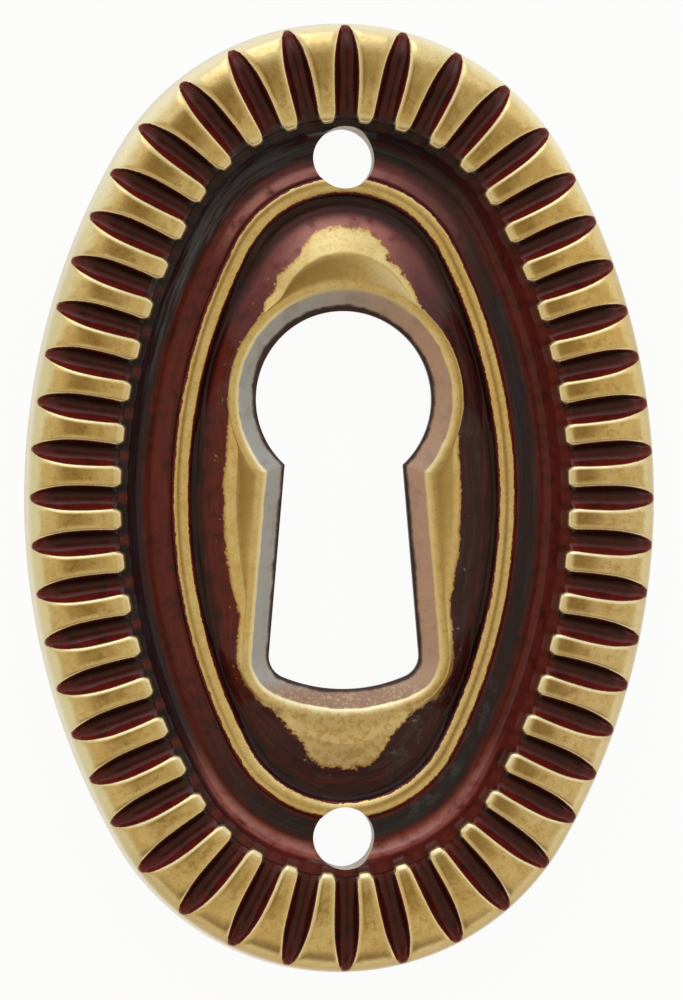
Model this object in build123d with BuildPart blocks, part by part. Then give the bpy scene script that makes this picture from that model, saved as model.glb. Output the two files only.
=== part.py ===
"""Keyhole escutcheon: one oval plate pressed from sheet brass, with a fluted rim, a sunk panel,
a beaded ring and an oval dome round the keyhole. Millimetres. The plate lies on its back on the
plane z = 0, +Z comes out of its face and +Y runs to the round end of the keyhole."""

import os
from math import atan2, cos, degrees, hypot, pi, radians, sin, sqrt, tan

from build123d import *

# Outline of the plate, an oval of four tangent arcs
plate_width = 25.4
plate_height = 38.1
plate_end_radius = 10.4
sheet_thickness = 1.0

# Section of the rim, from the foot inwards: drafted wall, shoulder, crown, band that falls inwards
rim_height = 2.2
rim_wall_draft = radians(7)
rim_shoulder_radius = 1.25
rim_shoulder_slope = radians(11)
rim_crown_radius = 6.3
rim_band_slope = radians(11)

# Sunk panel inside the band, an oval of its own, with a steep step down from the band
band_side_width = 4.05
band_end_width = 4.2
band_end_radius_drop = 3.4
panel_face_height = 1.05
panel_step_run = 0.25
panel_back_wall = 0.3

# Flutes across the band, spaced evenly along an oval inside the outline
flute_count = 48
flute_radius = 0.55
flute_pitch_inset = 3.0
flute_tip_inset = 0.5
flute_end_depth = 0.3

# Beaded ring on the panel, an oval of its own
bead_side_inset = 2.17
bead_end_inset = 2.46
bead_end_radius_drop = 2.36
bead_half_width = 0.4
bead_rise = 0.34
bead_flats = 3

# Keyhole, measured at its narrow edge on the back
key_round_radius = 3.53
key_round_centre = 3.93
key_neck_width = 4.76
key_leg_flare = radians(4.8)
key_leg_bottom = -7.63
key_bottom_radius = 6.3
key_corner_radius = 0.9
key_bevel_run = 0.8
key_bevel_depth = 0.75

# Oval dome round the keyhole, an oval of its own at the crest
dome_foot_inset = 0.6
dome_side_inset = 2.08
dome_end_inset = 2.69
dome_end_radius_drop = 1.94
dome_height = 0.75
dome_back_run = 0.3

# Lip round the keyhole, flush with the crest, where the keyhole is wider than the dome
lip_land = 0.14
lip_flank_run = 0.35
lip_flank_depth = 0.35

# Pin holes, one at each end
pin_hole_diameter = 2.45
pin_hole_end_inset = 5.5

# How far cutting shapes run past the faces that they cut
overrun = 0.5

panel_back_height = panel_face_height - sheet_thickness
crest_height = panel_face_height + dome_height
band_reach = max(band_side_width, band_end_width) + 2 * overrun

# Centres of the shoulder and crown arcs, as inset from the outline and height
crown_centre_height = rim_height - rim_crown_radius
arc_gap = rim_crown_radius - rim_shoulder_radius
shoulder_centre_height = crown_centre_height + arc_gap * cos(rim_shoulder_slope)
wall_top_height = shoulder_centre_height + rim_shoulder_radius * sin(rim_wall_draft)
shoulder_centre_inset = rim_shoulder_radius * cos(rim_wall_draft) + wall_top_height * tan(rim_wall_draft)
crown_centre_inset = shoulder_centre_inset + arc_gap * sin(rim_shoulder_slope)
wall_slope = pi / 2 - rim_wall_draft
shoulder_slope = (wall_slope + rim_shoulder_slope) / 2
fall_slope = -rim_band_slope


def grown_oval(oval, amount):
    """The oval that runs outside another at a constant distance, or inside for a negative one."""
    return tuple(size + amount for size in oval)


def inset_oval(oval, side, end, radius_drop):
    """The oval inside another, by one distance at the sides and another at the ends."""
    half_width, half_height, end_radius = oval
    return half_width - side, half_height - end, end_radius - radius_drop


# Ovals as half width, half height and end radius
outline_oval = (plate_width / 2, plate_height / 2, plate_end_radius)
panel_oval = inset_oval(outline_oval, band_side_width, band_end_width, band_end_radius_drop)
bead_oval = inset_oval(panel_oval, bead_side_inset, bead_end_inset, bead_end_radius_drop)
crest_oval = inset_oval(bead_oval, dome_side_inset, dome_end_inset, dome_end_radius_drop)


def side_arc_radius(oval):
    """Radius of the two long arcs that join the end arcs of an oval smoothly."""
    half_width, half_height, end_radius = oval
    reach = half_height - end_radius
    return (half_width**2 + reach**2 - end_radius**2) / (2 * (half_width - end_radius))


def oval_arcs(oval):
    """Centre, radius, start angle and turn of the four arcs of an oval, from the right-hand side."""
    half_width, half_height, end_radius = oval
    side_radius = side_arc_radius(oval)
    side_shift = side_radius - half_width
    end_shift = half_height - end_radius
    joint = atan2(end_shift, side_shift)
    return (
        (Vector(-side_shift, 0), side_radius, -joint, 2 * joint),
        (Vector(0, end_shift), end_radius, joint, pi - 2 * joint),
        (Vector(side_shift, 0), side_radius, pi - joint, 2 * joint),
        (Vector(0, -end_shift), end_radius, pi + joint, pi - 2 * joint),
    )


def oval_face(oval):
    """Draws an oval face in the sketch that is open."""
    with BuildLine() as outline:
        for centre, radius, start, turn in oval_arcs(oval):
            CenterArc(centre, radius, degrees(start), degrees(turn))
    make_face(outline.edges())


def radial_plane(centre, angle):
    """Upright plane through an arc's centre, with +X pointing along an angle and +Y up."""
    radial = Vector(cos(angle), sin(angle))
    return Plane(origin=centre, x_dir=radial, z_dir=radial.cross(Vector(0, 0, 1)))


def oval_stations(oval, count):
    """Points evenly spaced along an oval from its right-hand side, each with the angle of its normal."""
    arcs = oval_arcs(oval)
    pitch = sum(radius * turn for _, radius, _, turn in arcs) / count
    right_half = arcs[0][1] * arcs[0][3] / 2
    for number in range(count):
        travel = number * pitch + right_half
        for centre, radius, start, turn in (*arcs, arcs[0]):
            if travel <= radius * turn:
                break
            travel -= radius * turn
        angle = start + travel / radius
        yield centre + Vector(cos(angle), sin(angle)) * radius, angle


def rim_section(radius, depth, floor, shoulder_slopes, crown_slopes):
    """Draws, in the sketch that is open, the rim's section at a depth below its face. It stands on a
    floor, has the outline at a radius, and turns from flat to flat at the slopes given."""

    def corner(centre_inset, centre_height, arc_radius, slope):
        size = arc_radius - depth
        return Vector(radius - centre_inset + size * sin(slope), centre_height + size * cos(slope))

    shoulder = (shoulder_centre_inset, shoulder_centre_height, rim_shoulder_radius)
    crown = (crown_centre_inset, crown_centre_height, rim_crown_radius)
    shoulder_corners = [corner(*shoulder, slope) for slope in shoulder_slopes]
    crown_corners = [corner(*crown, slope) for slope in crown_slopes]
    wall_top, crown_end = shoulder_corners[0], crown_corners[-1]
    foot = Vector(wall_top.X + (wall_top.Y - floor) * tan(rim_wall_draft), floor)
    band_end_x = radius - band_reach
    band_end = Vector(band_end_x, crown_end.Y - (crown_end.X - band_end_x) * tan(rim_band_slope))
    with BuildLine() as outline:
        Polyline(foot, *shoulder_corners, *crown_corners, band_end, (band_end_x, floor), close=True)
    make_face(outline.edges())


def band_face_height(inset):
    """Height of the rim's face on the sloping band."""
    crown_end_inset = crown_centre_inset + rim_crown_radius * sin(rim_band_slope)
    crown_end_height = crown_centre_height + rim_crown_radius * cos(rim_band_slope)
    return crown_end_height - (inset - crown_end_inset) * tan(rim_band_slope)


def bead_section(radius):
    """Draws the bead's section in the sketch that is open: flats on half an ellipse, rooted in the panel."""
    root = panel_face_height - overrun / 2
    turns = [pi * number / bead_flats for number in range(bead_flats + 1)]
    crest = [
        Vector(radius + bead_half_width * cos(turn), panel_face_height + bead_rise * sin(turn))
        for turn in turns
    ]
    with BuildLine() as outline:
        Polyline((crest[0].X, root), *crest, (crest[-1].X, root), close=True)
    make_face(outline.edges())


def ahead_to_circle(start, direction, centre, radius):
    """Point where a line that runs on from a start leaves a circle."""
    offset = start - centre
    along = offset.dot(direction)
    return start + direction * (sqrt(along**2 - offset.dot(offset) + radius**2) - along)


def keyhole_face(growth):
    """Draws the keyhole in the sketch that is open, grown evenly outwards from its narrow edge."""
    down = Vector(sin(key_leg_flare), -cos(key_leg_flare))
    outwards = Vector(cos(key_leg_flare), sin(key_leg_flare))
    round_centre = Vector(0, key_round_centre)
    half_neck = key_neck_width / 2
    neck = Vector(half_neck, key_round_centre - sqrt(key_round_radius**2 - half_neck**2))
    bottom_centre = Vector(0, key_leg_bottom + key_bottom_radius)
    corner_reach = key_bottom_radius - key_corner_radius
    corner = ahead_to_circle(neck - outwards * key_corner_radius, down, bottom_centre, corner_reach)
    corner_size = key_corner_radius + growth
    corner_out = (corner - bottom_centre).normalized()
    corner_middle = (outwards + corner_out).normalized()
    top_right = ahead_to_circle(neck + outwards * growth, down, round_centre, key_round_radius + growth)
    side_right = corner + outwards * corner_size
    turn_right = corner + corner_middle * corner_size
    low_right = corner + corner_out * corner_size
    top_left, side_left, turn_left, low_left = (
        Vector(-point.X, point.Y) for point in (top_right, side_right, turn_right, low_right)
    )
    with BuildLine() as outline:
        ThreePointArc(top_right, (0, key_round_centre + key_round_radius + growth), top_left)
        Line(top_left, side_left)
        ThreePointArc(side_left, turn_left, low_left)
        ThreePointArc(low_left, (0, key_leg_bottom - growth), low_right)
        ThreePointArc(low_right, turn_right, side_right)
        Line(side_right, top_right)
    make_face(outline.edges())


def flute_plane(point, angle):
    """Plane across a flute, at its outer end, on the axis of the round groove that sinks inwards."""
    outwards = Vector(cos(angle), sin(angle))
    band_width = hypot(band_side_width * cos(angle), band_end_width * sin(angle))
    tip_rise = sqrt(rim_shoulder_radius**2 - (shoulder_centre_inset - flute_tip_inset) ** 2)
    tip_height = shoulder_centre_height + tip_rise
    run = band_width - flute_tip_inset
    fall = tip_height - band_face_height(band_width) + flute_end_depth
    along = Vector(-run * outwards.X, -run * outwards.Y, -fall).normalized()
    upright = Vector(-fall * outwards.X, -fall * outwards.Y, run).normalized()
    tip = point + outwards * (flute_pitch_inset - flute_tip_inset) + Vector(0, 0, tip_height)
    return Plane(origin=tip + upright * flute_radius - along * overrun, x_dir=upright, z_dir=along)


# Hollow behind the rim, and the thin relief behind the panel
with BuildPart() as hollow:
    for centre, radius, start, turn in oval_arcs(outline_oval):
        with BuildSketch(radial_plane(centre, start)):
            rim_section(radius, sheet_thickness, -overrun, (wall_slope, rim_shoulder_slope), (fall_slope,))
        revolve(axis=Axis(centre, (0, 0, 1)), revolution_arc=degrees(turn))
    with BuildSketch(Plane.XY.offset(-overrun)):
        oval_face(grown_oval(panel_oval, panel_back_wall))
    extrude(amount=overrun + rim_height, mode=Mode.SUBTRACT)
    with BuildSketch(Plane.XY.offset(-overrun)):
        oval_face(grown_oval(panel_oval, panel_back_wall))
    extrude(amount=overrun + panel_back_height)

with BuildPart() as plate:
    # Face of the rim, with the panel sunk into it and the hollow behind
    for centre, radius, start, turn in oval_arcs(outline_oval):
        with BuildSketch(radial_plane(centre, start)):
            rim_section(radius, 0, 0, (wall_slope, shoulder_slope, rim_shoulder_slope), (0, fall_slope))
        revolve(axis=Axis(centre, (0, 0, 1)), revolution_arc=degrees(turn))
    with BuildSketch():
        oval_face(grown_oval(panel_oval, -panel_step_run))
    extrude(amount=panel_face_height)
    with BuildSketch(Plane.XY.offset(panel_face_height)):
        oval_face(grown_oval(panel_oval, -panel_step_run))
    with BuildSketch(Plane.XY.offset(rim_height)):
        oval_face(grown_oval(panel_oval, panel_step_run))
    loft(ruled=True, mode=Mode.SUBTRACT)
    add(hollow.part, mode=Mode.SUBTRACT)

    # Flutes, each a straight round groove that starts at the shoulder and opens into the panel
    for point, angle in oval_stations(grown_oval(outline_oval, -flute_pitch_inset), flute_count):
        with BuildSketch(flute_plane(point, angle)):
            Circle(flute_radius)
    extrude(amount=max(band_side_width, band_end_width), mode=Mode.SUBTRACT)

    # Beaded ring
    for centre, radius, start, turn in oval_arcs(bead_oval):
        with BuildSketch(radial_plane(centre, start)):
            bead_section(radius)
        revolve(axis=Axis(centre, (0, 0, 1)), revolution_arc=degrees(turn))

    # Oval dome, and the pressed hollow behind it
    with BuildSketch(Plane.XY.offset(panel_face_height)):
        oval_face(grown_oval(bead_oval, -dome_foot_inset))
    with BuildSketch(Plane.XY.offset(crest_height)):
        oval_face(crest_oval)
    loft(ruled=True)
    with BuildSketch(Plane.XY.offset(panel_back_height)):
        oval_face(crest_oval)
    with BuildSketch(Plane.XY.offset(panel_back_height + dome_height)):
        oval_face(grown_oval(crest_oval, -dome_back_run))
    loft(ruled=True, mode=Mode.SUBTRACT)

    # Lip round the keyhole, with a sloping flank
    with BuildSketch(Plane.XY.offset(crest_height - lip_flank_depth)):
        keyhole_face(key_bevel_run + lip_land + lip_flank_run)
    extrude(amount=lip_flank_depth, taper=degrees(atan2(lip_flank_run, lip_flank_depth)))

    # Keyhole: a sheared edge with a broad bevel towards the face
    with BuildSketch(Plane.XY.offset(crest_height)):
        keyhole_face(key_bevel_run)
    bevel_taper = degrees(atan2(key_bevel_run, key_bevel_depth))
    extrude(amount=-key_bevel_depth, taper=bevel_taper, mode=Mode.SUBTRACT)
    with BuildSketch():
        keyhole_face(0)
    extrude(amount=crest_height, mode=Mode.SUBTRACT)

    # Pin holes
    with GridLocations(0, plate_height - 2 * pin_hole_end_inset, 1, 2):
        Hole(pin_hole_diameter / 2, rim_height)

plate.part.label = "escutcheon_plate"
os.makedirs("parts", exist_ok=True)
export_step(plate.part, "parts/escutcheon_plate.step")
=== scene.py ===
import math

import bpy
from mathutils import Matrix, Vector


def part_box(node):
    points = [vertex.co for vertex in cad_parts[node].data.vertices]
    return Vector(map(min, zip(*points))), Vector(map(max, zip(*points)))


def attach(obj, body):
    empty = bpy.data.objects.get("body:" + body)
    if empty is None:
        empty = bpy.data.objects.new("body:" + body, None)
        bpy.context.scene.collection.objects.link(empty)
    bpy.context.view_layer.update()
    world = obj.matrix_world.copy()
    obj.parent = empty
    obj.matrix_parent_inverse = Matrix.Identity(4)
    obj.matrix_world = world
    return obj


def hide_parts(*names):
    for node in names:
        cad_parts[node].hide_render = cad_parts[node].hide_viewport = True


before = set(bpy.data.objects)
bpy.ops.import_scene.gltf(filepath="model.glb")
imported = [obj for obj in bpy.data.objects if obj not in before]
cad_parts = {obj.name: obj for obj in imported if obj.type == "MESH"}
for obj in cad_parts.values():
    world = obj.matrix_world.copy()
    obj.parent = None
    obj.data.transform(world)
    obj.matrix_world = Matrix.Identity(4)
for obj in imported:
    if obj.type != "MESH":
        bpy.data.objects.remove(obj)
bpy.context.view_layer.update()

# Sizes are in millimetres and become metres where the mesh is placed
MM = 0.001

# Outline of the plate, an oval of four tangent arcs, and the pin holes
plate_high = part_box("escutcheon_plate")[1]
PLATE_HALF_WIDTH = plate_high.x / MM
PLATE_HALF_HEIGHT = plate_high.y / MM
PLATE_END_RADIUS = 10.4
PIN_SPACING = 27.1
PIN_RADIUS = 1.225
PIN_CUTTER_DEPTH = 8.0
PIN_CUTTER_SIDES = 96

# Rim, from the foot inwards: drafted wall, shoulder, crown
RIM_HEIGHT = plate_high.z / MM
FOOT_CHAMFER = 0.05
WALL_DRAFT = math.radians(7)
SHOULDER_RADIUS = 1.25
SHOULDER_INSET = 1.37
SHOULDER_HEIGHT = 0.857
SHOULDER_STEPS = 10
CREST_INSET = 2.33
CROWN_RADIUS = 6.3
CROWN_SLOPE = math.radians(11)

# Flutes: quads across half a groove and half a land, and the width along a flute as shares of both
FLUTE_COUNT = 48
GROOVE_QUADS = 5
LAND_QUADS = 4
COLUMNS_PER_FLUTE = 2 * (GROOVE_QUADS + LAND_QUADS)
GROOVE_SHARE = GROOVE_QUADS / (GROOVE_QUADS + LAND_QUADS)
LAND_GATHER = 1.35
GROOVE_ROUNDING = 2.3
FLUTE_FLOOR_HEIGHT = 1.73
FLUTE_TIP_DEPTH = 0.3
FLUTE_TIP_RUN = 0.5
FLUTE_WIDTHS = (
    (0.0, 0.20), (0.05, 0.42), (0.12, 0.65), (0.22, 0.84),
    (0.34, 0.97), (0.48, 1.0), (0.75, 0.94), (1.0, 0.82),
)

# Noses of the lands, the ledge below them, the moat and the bead
NOSE_RADIUS = 0.3
LEDGE_WIDTH = 0.17
LEDGE_HEIGHT = 1.68
MOAT_WIDTH = 1.9
MOAT_HEIGHT = 0.97
BEAD_HALF_WIDTH = 0.42
BEAD_RISE = 0.27
BEAD_FOOT_HEIGHT = 1.16
BEAD_FOOT_FALL = 0.09

# Keyhole, measured at its narrow edge, with its bevel and the lip round it
KEY_ROUND_RADIUS = 3.53
KEY_ROUND_CENTRE = 3.93
KEY_NECK_WIDTH = 4.76
KEY_NECK_HEIGHT = KEY_ROUND_CENTRE - math.sqrt(KEY_ROUND_RADIUS**2 - KEY_NECK_WIDTH**2 / 4)
KEY_LEG_FLARE = math.radians(4.8)
KEY_BOTTOM_RADIUS = 6.3
KEY_BOTTOM_CENTRE = -1.33
KEY_CORNER_RADIUS = 0.9
KEY_BEVEL = 0.76
KEY_BEVEL_FOOT = 1.05
LIP_RADIUS = 0.8
LIP_WIDTH = 0.36
LIP_START = math.radians(5)
LIP_END = math.radians(43)
RIDGE_RISE = math.radians(8)
RIDGE_PAST_LIP = 0.06
RIDGE_BLEND = 0.25

# Back of the sheet
DOME_BACK_HEIGHT = 0.77
PANEL_BACK_HEIGHT = 0.05
SHEET_FOOT_INSET = 1.0

# How far the rubbed brass reaches on the noses, the bead and the lands, and how deep the lacquer is
NOSE_GILT = 0.26
BEAD_GILT = 0.27
LAND_GILT = 0.02
MOAT_LACQUER = 0.6
BACK_LACQUER = 0.3

# Room for rounding down, the share of a groove that still counts as inside it, and the sharpest smooth edge
ROUNDING_ROOM = 0.0001
GROOVE_LIMIT = 0.999
SHARP_EDGE = math.radians(42)


class Value:
    """A socket of a node tree, for sums written as Python expressions."""

    def __init__(self, tree, socket):
        self.tree = tree
        self.socket = socket

    def math(self, operation, *others):
        return self.tree.add("ShaderNodeMath", [self, *others], operation=operation)

    def __add__(self, other):
        return self.math("ADD", other)

    __radd__ = __add__

    def __mul__(self, other):
        return self.math("MULTIPLY", other)

    __rmul__ = __mul__

    def __sub__(self, other):
        return self.math("SUBTRACT", other)

    def __rsub__(self, other):
        return self.tree.add("ShaderNodeMath", [other, self], operation="SUBTRACT")

    def __truediv__(self, other):
        return self.math("DIVIDE", other)

    def __rtruediv__(self, other):
        return self.tree.add("ShaderNodeMath", [other, self], operation="DIVIDE")

    def __pow__(self, other):
        return self.math("POWER", other)

    def __neg__(self):
        return self * -1.0

    def __abs__(self):
        return self.math("ABSOLUTE")

    def __gt__(self, other):
        return self.math("GREATER_THAN", other)

    def __lt__(self, other):
        return self.math("LESS_THAN", other)

    def sin(self):
        return self.math("SINE")

    def cos(self):
        return self.math("COSINE")

    def root(self):
        return self.math("MAXIMUM", 0.0).math("SQRT")

    def floor(self):
        return self.math("FLOOR")

    def sign(self):
        return self.math("SIGN")

    def at_most(self, other):
        return self.math("MINIMUM", other)

    def at_least(self, other):
        return self.math("MAXIMUM", other)

    def within(self, low, high):
        return self.at_least(low).at_most(high)

    def toward(self, other, share):
        """self where share is 0 and other where it is 1."""
        return self + (other - self) * share

    def ease(self, low, high):
        """0 below low, 1 above high, smooth between."""
        return self.tree.add(
            "ShaderNodeMapRange", [self, low, high, 0.0, 1.0], interpolation_type="SMOOTHSTEP"
        )


class Nodes:
    """A node tree that is filled one node at a time."""

    def __init__(self, tree):
        self.tree = tree

    def add(self, kind, inputs=(), output=0, **settings):
        """One node: its settings first, then its sockets, by order or by name or number."""
        node = self.tree.nodes.new(kind)
        for name, setting in settings.items():
            if name == "points":
                self.draw_curve(node.mapping, setting)
            else:
                setattr(node, name, setting)
        pairs = inputs.items() if isinstance(inputs, dict) else enumerate(inputs)
        for key, given in pairs:
            if isinstance(given, Value):
                self.tree.links.new(given.socket, node.inputs[key])
            else:
                node.inputs[key].default_value = given
        if output is None:
            return node
        return Value(self, node.outputs[output])

    def draw_curve(self, mapping, places):
        """Puts the points of a curve node at these places."""
        points = mapping.curves[0].points
        while len(points) < len(places):
            points.new(0.5, 0.5)
        for point, place in zip(points, places):
            point.location = place
        mapping.update()

    def mix(self, share, first, second):
        """The first colour where share is 0 and the second where it is 1."""
        return self.add("ShaderNodeMix", {0: share, 6: first, 7: second}, output=2, data_type="RGBA")

    def coats(self, tone, *coats):
        """A tone with coats laid over it in turn, each with its share and its colour."""
        for share, coat in coats:
            tone = self.mix(share, tone, coat)
        return tone

    def parts(self, vector):
        """The three numbers of a vector."""
        return [self.add("ShaderNodeSeparateXYZ", [vector], output=i) for i in range(3)]


class Section:
    """The drawn section of the plate, from the foot over the face to the keyhole and back behind.

    A row's guide says between which lines it lies: 0 is the outline, 1 the rim's crest, 2 the band's
    inner edge, 3 the bead, 4 the dome's ridge, 5 the lip and 6 the keyhole's edge. Its marks say how
    the row is carried round the plate, how it is worn, and, by dark, how much shade is painted on it."""

    MARKS = (
        "band", "cut", "corner", "setback", "on_crown", "rise", "on_dome", "lip_in", "rub", "dark", "behind"
    )

    def __init__(self):
        self.rows = []
        self.draw_rim()
        self.draw_noses()
        self.draw_moat()
        self.draw_bead()
        self.draw_dome()
        self.draw_keyhole()
        self.draw_back()

    def row(self, guide, height, **marks):
        self.rows.append({"guide": guide, "height": height, **marks})

    def rim_row(self, inset, height):
        self.row(inset / CREST_INSET, height, band=1.0, cut=1.0, rub=1.0)

    def lip_row(self, inward, height, **marks):
        self.row(5 + inward / (LIP_WIDTH + KEY_BEVEL), height, lip_in=inward, rub=1.0, **marks)

    def back_row(self, guide, height, **marks):
        self.row(guide, height, rub=-BACK_LACQUER, behind=1.0, **marks)

    def draw_rim(self):
        """The foot, the drafted wall, the shoulder and the crown."""
        self.rim_row(FOOT_CHAMFER, 0.0)
        self.rim_row(0.0, FOOT_CHAMFER)
        for height in (0.35, 0.7):
            self.rim_row(height * math.tan(WALL_DRAFT), height)
        sweep = math.pi / 2 - CROWN_SLOPE - WALL_DRAFT
        for step in range(SHOULDER_STEPS):
            turn = WALL_DRAFT + sweep * step / SHOULDER_STEPS
            inset = SHOULDER_INSET - SHOULDER_RADIUS * math.cos(turn)
            self.rim_row(inset, SHOULDER_HEIGHT + SHOULDER_RADIUS * math.sin(turn))
        for inset in (1.13, 1.4, 1.65, 1.9, 2.12, CREST_INSET):
            drop = (inset - CREST_INSET) ** 2 / (2 * CROWN_RADIUS)
            self.rim_row(inset, RIM_HEIGHT - drop)

    def draw_noses(self):
        """The lands' fall to their rounded noses, and the ledge below."""
        on_land = {"on_crown": 1.0, "band": 1.0, "cut": 1.0}
        nose_start = LEDGE_WIDTH + NOSE_RADIUS
        for share, corner in ((0.2, 0.0), (0.4, 0.0), (0.6, 0.1), (0.8, 0.5), (1.0, 1.0)):
            self.row(1 + share, 0.0, setback=nose_start * share, corner=corner, rub=1.0, **on_land)
        for degrees in range(15, 91, 15):
            turn = math.radians(degrees)
            drop = NOSE_RADIUS * (1 - math.cos(turn))
            setback = LEDGE_WIDTH + NOSE_RADIUS * (1 - math.sin(turn))
            self.row(2, -drop, setback=setback, corner=1.0, rub=NOSE_GILT - drop, **on_land)
        # The ledge's dark mark is painted shade under the noses.
        self.row(2, FLUTE_FLOOR_HEIGHT, setback=LEDGE_WIDTH, corner=1.0, band=1.0, rub=-0.15, dark=1.0)
        self.row(2, LEDGE_HEIGHT, band=1.0, rub=-0.2, dark=0.9)

    def draw_moat(self):
        """The cove that falls from the ledge and rises again to the bead."""
        cove = ((0.03, 1.60), (0.07, 1.43), (0.12, 1.25), (0.18, 1.09), (0.25, 0.98), (0.35, 0.91),
                (0.46, 0.89), (0.58, 0.92), (0.71, 0.99), (0.86, 1.08), (1.0, BEAD_FOOT_HEIGHT))
        for share, height in cove:
            from_bead = BEAD_HALF_WIDTH - BEAD_GILT + (1 - share) * MOAT_WIDTH
            # Its dark mark paints shade in the top of the cove, under the ledge.
            self.row(2 + share, height, setback=BEAD_HALF_WIDTH * share,
                     band=max(0.0, 1 - share / 0.4), rub=-min(MOAT_LACQUER, from_bead),
                     dark=max(0.0, 0.85 - share * 9))

    def draw_bead(self):
        """The round bead, whose inner foot lies lower than its outer one."""
        for degrees in range(15, 181, 15):
            turn = math.radians(degrees)
            setback = BEAD_HALF_WIDTH * math.cos(turn)
            foot = BEAD_FOOT_HEIGHT - BEAD_FOOT_FALL * (1 - math.cos(turn)) / 2
            # Its dark mark paints shade on the bead's inner foot.
            self.row(3, foot + BEAD_RISE * math.sin(turn), setback=setback, rub=BEAD_GILT - abs(setback),
                     dark=max(0.0, -math.cos(turn) - 0.7) * 3)

    def draw_dome(self):
        """The dome's flank, given by lift and share of its rise, and the way from its ridge to the lip."""
        flank = ((0.07, 0.02, 0.0), (0.15, 0.0, 0.03), (0.25, 0.0, 0.12), (0.38, 0.0, 0.27),
                 (0.52, 0.0, 0.435), (0.66, 0.0, 0.6), (0.8, 0.0, 0.765), (0.91, 0.0, 0.895),
                 (0.97, 0.0, 0.965), (1.0, 0.0, 1.0))
        for share, lift, rise in flank:
            # Its dark mark paints shade at the flank's foot, inside the bead.
            self.row(3 + share, MOAT_HEIGHT + lift, setback=-BEAD_HALF_WIDTH * (1 - share), rise=rise,
                     rub=-0.12 - share, dark=max(0.0, 0.95 - abs(share - 0.1) * 3.2))
        for share in (0.05, 0.14, 0.28, 0.44, 0.6, 0.77, 0.9, 1.0):
            self.row(4 + share, 0.0, on_dome=1.0, rub=1.0)

    def draw_keyhole(self):
        """The rounded lip, the bevel and the narrow wall of the keyhole."""
        for degrees in (14, 23, 32):
            turn = math.radians(degrees)
            drop = LIP_RADIUS * (math.cos(LIP_START) - math.cos(turn))
            self.lip_row(LIP_RADIUS * (math.sin(turn) - math.sin(LIP_START)), -drop, on_dome=1.0)
        bevel_in = LIP_RADIUS * (math.sin(LIP_END) - math.sin(LIP_START))
        bevel_drop = LIP_RADIUS * (math.cos(LIP_START) - math.cos(LIP_END))
        for share in (0.0, 0.25, 0.5, 0.72, 0.88, 1.0):
            inward = bevel_in + (LIP_WIDTH + KEY_BEVEL - bevel_in) * share
            self.lip_row(inward, KEY_BEVEL_FOOT * share - bevel_drop * (1 - share), on_dome=1 - share)
        for height in (0.99, 0.88, 0.78):
            self.lip_row(LIP_WIDTH + KEY_BEVEL, height)

    def draw_back(self):
        """The back of the sheet, from the keyhole out to the foot."""
        for inward in (0.9, 0.5):
            self.back_row(5 + inward, DOME_BACK_HEIGHT, lip_in=inward)
        dome = ((5.0, DOME_BACK_HEIGHT), (4.6, DOME_BACK_HEIGHT), (4.25, 0.74), (3.95, 0.62), (3.65, 0.35),
                (3.4, 0.13))
        panel = tuple((guide, PANEL_BACK_HEIGHT) for guide in (3.15, 2.5, 2.05))
        for guide, height in dome + panel:
            self.back_row(guide, height)
        for setback, height in ((0.06, 0.12), (0.16, 0.5), (0.26, 0.9), (0.36, 1.05)):
            self.back_row(2, height, setback=setback)
        rim = ((1.45, 1.14), (1.0, 1.19), (0.8, 1.17), (0.65, 1.08), (0.52, 0.85), (0.46, 0.5), (0.44, 0.1),
               (SHEET_FOOT_INSET / CREST_INSET, 0.0))
        for guide, height in rim:
            self.back_row(guide, height)
        self.rows.append(dict(self.rows[0], behind=1.0))

    def mesh(self):
        """A chain of points: guide along X, height along Z, and the marks as attributes."""
        mesh = bpy.data.meshes.new("plate_section")
        points = [(row["guide"], 0.0, row["height"]) for row in self.rows]
        mesh.from_pydata(points, [(i, i + 1) for i in range(len(points) - 1)], [])
        for mark in self.MARKS:
            attribute = mesh.attributes.new(mark, "FLOAT", "POINT")
            attribute.data.foreach_set("value", [row.get(mark, 0.0) for row in self.rows])
        return mesh


class Oval:
    """Four tangent arcs: two side arcs and two end arcs."""

    def __init__(self, half_width, half_height, end_radius):
        self.end_radius = end_radius
        self.end_shift = half_height - end_radius
        self.side_radius = (
            half_width * half_width + self.end_shift * self.end_shift - end_radius * end_radius
        ) / (2.0 * (half_width - end_radius))
        self.side_shift = self.side_radius - half_width
        self.joint = self.end_shift.math("ARCTAN2", self.side_shift)

    def point(self, cosine, sine):
        """The point where the oval's outward normal has this direction."""
        across, along = abs(cosine), abs(sine)
        at_end = along > self.joint.sin()
        side_x = cosine.sign() * (self.side_radius * across - self.side_shift)
        side_y = self.side_radius * sine
        end_x = self.end_radius * cosine
        end_y = sine.sign() * (self.end_shift + self.end_radius * along)
        return side_x.toward(end_x, at_end), side_y.toward(end_y, at_end)


def key_corner():
    """Centre of the keyhole's lower corner, from the middle of its neck, and where its arc ends."""
    down = Vector((math.sin(KEY_LEG_FLARE), -math.cos(KEY_LEG_FLARE)))
    outwards = Vector((math.cos(KEY_LEG_FLARE), math.sin(KEY_LEG_FLARE)))
    bottom_centre = Vector((0.0, KEY_BOTTOM_CENTRE - KEY_NECK_HEIGHT))
    start = Vector((KEY_NECK_WIDTH / 2, 0.0)) - outwards * KEY_CORNER_RADIUS
    offset = start - bottom_centre
    reach = KEY_BOTTOM_RADIUS - KEY_CORNER_RADIUS
    along = offset.dot(down)
    centre = start + down * (math.sqrt(along**2 - offset.dot(offset) + reach**2) - along)
    return centre, outwards, (centre - bottom_centre).normalized()


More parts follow.
